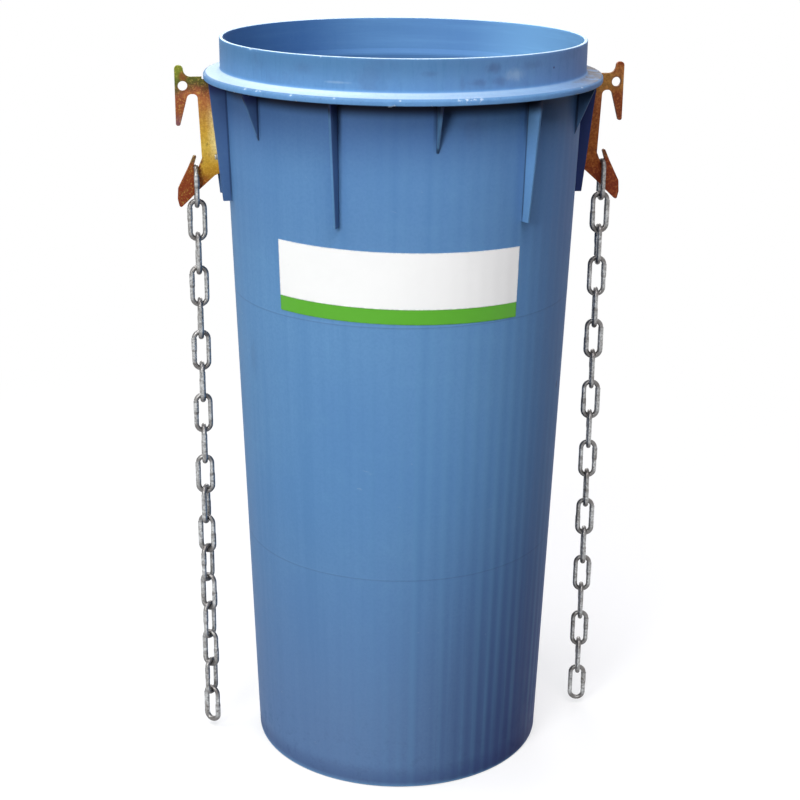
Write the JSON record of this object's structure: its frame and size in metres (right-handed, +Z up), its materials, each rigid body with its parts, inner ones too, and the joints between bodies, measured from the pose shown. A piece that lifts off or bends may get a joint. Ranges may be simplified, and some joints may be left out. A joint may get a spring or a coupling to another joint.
{
  "type": "rubble chute section",
  "caption": "Tapered moulded tube section of a building-site rubble chute, with a flanged collar, ribs and two bolted hook brackets that carry hanging chains.",
  "frame": {"origin": "on the tube's axis, on the ground under its bottom edge", "axes": "+Z up along the tube's axis, -Y the front with the label, -X and +X the two brackets"},
  "size_m": [0.644, 0.5628, 1.075],
  "materials": {
    "tube": "moulded polyethylene",
    "label": "printed film",
    "stripe": "printed film",
    "bracket": "yellow passivated zinc plate",
    "fastener": "bright zinc plate",
    "chain": "dull galvanised"
  },
  "bodies": {
    "chute": {"chute_tube": "tube", "label_sticker": "label", "label_stripe": "stripe", "left_bracket": "bracket", "left_bolts": "fastener", "left_washers": "fastener", "left_nuts": "fastener", "right_bracket": "bracket", "right_bolts": "fastener", "right_washers": "fastener", "right_nuts": "fastener"},
    "left_link_01": {"left_link_01": "chain"},
    "left_link_02": {"left_link_02": "chain"},
    "left_link_03": {"left_link_03": "chain"},
    "left_link_04": {"left_link_04": "chain"},
    "left_link_05": {"left_link_05": "chain"},
    "left_link_06": {"left_link_06": "chain"},
    "left_link_07": {"left_link_07": "chain"},
    "left_link_08": {"left_link_08": "chain"},
    "left_link_09": {"left_link_09": "chain"},
    "left_link_10": {"left_link_10": "chain"},
    "left_link_11": {"left_link_11": "chain"},
    "left_link_12": {"left_link_12": "chain"},
    "left_link_13": {"left_link_13": "chain"},
    "left_link_14": {"left_link_14": "chain"},
    "left_link_15": {"left_link_15": "chain"},
    "left_link_16": {"left_link_16": "chain"},
    "left_link_17": {"left_link_17": "chain"},
    "left_link_18": {"left_link_18": "chain"},
    "right_link_01": {"right_link_01": "chain"},
    "right_link_02": {"right_link_02": "chain"},
    "right_link_03": {"right_link_03": "chain"},
    "right_link_04": {"right_link_04": "chain"},
    "right_link_05": {"right_link_05": "chain"},
    "right_link_06": {"right_link_06": "chain"},
    "right_link_07": {"right_link_07": "chain"},
    "right_link_08": {"right_link_08": "chain"},
    "right_link_09": {"right_link_09": "chain"},
    "right_link_10": {"right_link_10": "chain"},
    "right_link_11": {"right_link_11": "chain"},
    "right_link_12": {"right_link_12": "chain"},
    "right_link_13": {"right_link_13": "chain"},
    "right_link_14": {"right_link_14": "chain"},
    "right_link_15": {"right_link_15": "chain"},
    "right_link_16": {"right_link_16": "chain"},
    "right_link_17": {"right_link_17": "chain"},
    "right_link_18": {"right_link_18": "chain"}
  },
  "joints": [
    {"name": "left_swing_01", "type": "hinge", "parent": "chute", "child": "left_link_01", "pos_m": [-0.295, 0.013, 0.884], "axis": [1, 0, 0], "range_deg": [-8, 8]},
    {"name": "left_swing_02", "type": "hinge", "parent": "left_link_01", "child": "left_link_02", "pos_m": [-0.295, 0.013, 0.8385], "axis": [0, 1, 0], "range_deg": [-3, 25]},
    {"name": "left_swing_03", "type": "hinge", "parent": "left_link_02", "child": "left_link_03", "pos_m": [-0.295, 0.013, 0.7898], "axis": [-1, 0, 0], "range_deg": [-25, 25]},
    {"name": "left_swing_04", "type": "hinge", "parent": "left_link_03", "child": "left_link_04", "pos_m": [-0.295, 0.013, 0.7411], "axis": [0, -1, 0], "range_deg": [-25, 3.5]},
    {"name": "left_swing_05", "type": "hinge", "parent": "left_link_04", "child": "left_link_05", "pos_m": [-0.295, 0.013, 0.6924], "axis": [1, 0, 0], "range_deg": [-25, 25]},
    {"name": "left_swing_06", "type": "hinge", "parent": "left_link_05", "child": "left_link_06", "pos_m": [-0.295, 0.013, 0.6437], "axis": [0, 1, 0], "range_deg": [-4, 25]},
    {"name": "left_swing_07", "type": "hinge", "parent": "left_link_06", "child": "left_link_07", "pos_m": [-0.295, 0.013, 0.595], "axis": [-1, 0, 0], "range_deg": [-25, 25]},
    {"name": "left_swing_08", "type": "hinge", "parent": "left_link_07", "child": "left_link_08", "pos_m": [-0.295, 0.013, 0.5463], "axis": [0, -1, 0], "range_deg": [-25, 5]},
    {"name": "left_swing_09", "type": "hinge", "parent": "left_link_08", "child": "left_link_09", "pos_m": [-0.295, 0.013, 0.4976], "axis": [1, 0, 0], "range_deg": [-25, 25]},
    {"name": "left_swing_10", "type": "hinge", "parent": "left_link_09", "child": "left_link_10", "pos_m": [-0.295, 0.013, 0.4489], "axis": [0.1736, 0.9848, 0], "range_deg": [-6, 25]},
    {"name": "left_swing_11", "type": "hinge", "parent": "left_link_10", "child": "left_link_11", "pos_m": [-0.295, 0.013, 0.4002], "axis": [-0.9397, 0.342, 0], "range_deg": [-25, 25]},
    {"name": "left_swing_12", "type": "hinge", "parent": "left_link_11", "child": "left_link_12", "pos_m": [-0.295, 0.013, 0.3515], "axis": [-0.5, -0.866, 0], "range_deg": [-25, 8]},
    {"name": "left_swing_13", "type": "hinge", "parent": "left_link_12", "child": "left_link_13", "pos_m": [-0.295, 0.013, 0.3028], "axis": [0.766, -0.6428, 0], "range_deg": [-25, 25]},
    {"name": "left_swing_14", "type": "hinge", "parent": "left_link_13", "child": "left_link_14", "pos_m": [-0.295, 0.013, 0.2541], "axis": [0.6428, 0.766, 0], "range_deg": [-11, 25]},
    {"name": "left_swing_15", "type": "hinge", "parent": "left_link_14", "child": "left_link_15", "pos_m": [-0.295, 0.013, 0.2054], "axis": [-0.766, 0.6428, 0], "range_deg": [-25, 25]},
    {"name": "left_swing_16", "type": "hinge", "parent": "left_link_15", "child": "left_link_16", "pos_m": [-0.295, 0.013, 0.1567], "axis": [-0.6428, -0.766, 0], "range_deg": [-25, 19]},
    {"name": "left_swing_17", "type": "hinge", "parent": "left_link_16", "child": "left_link_17", "pos_m": [-0.295, 0.013, 0.108], "axis": [0.766, -0.6428, 0], "range_deg": [-25, 25]},
    {"name": "left_swing_18", "type": "hinge", "parent": "left_link_17", "child": "left_link_18", "pos_m": [-0.295, 0.013, 0.0593], "axis": [0.6428, 0.766, 0], "range_deg": [-25, 25]},
    {"name": "right_swing_01", "type": "hinge", "parent": "chute", "child": "right_link_01", "pos_m": [0.295, -0.013, 0.884], "axis": [1, 0, 0], "range_deg": [-8, 8]},
    {"name": "right_swing_02", "type": "hinge", "parent": "right_link_01", "child": "right_link_02", "pos_m": [0.295, -0.013, 0.8385], "axis": [-0.061, -0.9981, 0], "range_deg": [-3, 25]},
    {"name": "right_swing_03", "type": "hinge", "parent": "right_link_02", "child": "right_link_03", "pos_m": [0.295, -0.013, 0.7898], "axis": [-0.9925, 0.1219, 0], "range_deg": [-25, 25]},
    {"name": "right_swing_04", "type": "hinge", "parent": "right_link_03", "child": "right_link_04", "pos_m": [0.295, -0.013, 0.7411], "axis": [0.1822, 0.9833, 0], "range_deg": [-25, 3.5]},
    {"name": "right_swing_05", "type": "hinge", "parent": "right_link_04", "child": "right_link_05", "pos_m": [0.295, -0.013, 0.6924], "axis": [0.9703, -0.2419, 0], "range_deg": [-25, 25]},
    {"name": "right_swing_06", "type": "hinge", "parent": "right_link_05", "child": "right_link_06", "pos_m": [0.295, -0.013, 0.6437], "axis": [-0.2419, -0.9703, 0], "range_deg": [-4, 25]},
    {"name": "right_swing_07", "type": "hinge", "parent": "right_link_06", "child": "right_link_07", "pos_m": [0.295, -0.013, 0.595], "axis": [-0.9703, 0.2419, 0], "range_deg": [-25, 25]},
    {"name": "right_swing_08", "type": "hinge", "parent": "right_link_07", "child": "right_link_08", "pos_m": [0.295, -0.013, 0.5463], "axis": [0.2419, 0.9703, 0], "range_deg": [-25, 5]},
    {"name": "right_swing_09", "type": "hinge", "parent": "right_link_08", "child": "right_link_09", "pos_m": [0.295, -0.013, 0.4976], "axis": [0.9703, -0.2419, 0], "range_deg": [-25, 25]},
    {"name": "right_swing_10", "type": "hinge", "parent": "right_link_09", "child": "right_link_10", "pos_m": [0.295, -0.013, 0.4489], "axis": [-0.2419, -0.9703, 0], "range_deg": [-6, 25]},
    {"name": "right_swing_11", "type": "hinge", "parent": "right_link_10", "child": "right_link_11", "pos_m": [0.295, -0.013, 0.4002], "axis": [-0.9703, 0.2419, 0], "range_deg": [-25, 25]},
    {"name": "right_swing_12", "type": "hinge", "parent": "right_link_11", "child": "right_link_12", "pos_m": [0.295, -0.013, 0.3515], "axis": [0.2419, 0.9703, 0], "range_deg": [-25, 8]},
    {"name": "right_swing_13", "type": "hinge", "parent": "right_link_12", "child": "right_link_13", "pos_m": [0.295, -0.013, 0.3028], "axis": [0.9703, -0.2419, 0], "range_deg": [-25, 25]},
    {"name": "right_swing_14", "type": "hinge", "parent": "right_link_13", "child": "right_link_14", "pos_m": [0.295, -0.013, 0.2541], "axis": [-0.2419, -0.9703, 0], "range_deg": [-11, 25]},
    {"name": "right_swing_15", "type": "hinge", "parent": "right_link_14", "child": "right_link_15", "pos_m": [0.295, -0.013, 0.2054], "axis": [-0.9703, 0.2419, 0], "range_deg": [-25, 25]},
    {"name": "right_swing_16", "type": "hinge", "parent": "right_link_15", "child": "right_link_16", "pos_m": [0.295, -0.013, 0.1567], "axis": [0.2419, 0.9703, 0], "range_deg": [-25, 19]},
    {"name": "right_swing_17", "type": "hinge", "parent": "right_link_16", "child": "right_link_17", "pos_m": [0.295, -0.013, 0.108], "axis": [0.9703, -0.2419, 0], "range_deg": [-25, 25]},
    {"name": "right_swing_18", "type": "hinge", "parent": "right_link_17", "child": "right_link_18", "pos_m": [0.295, -0.013, 0.0593], "axis": [-0.2419, -0.9703, 0], "range_deg": [-25, 25]}
  ]
}
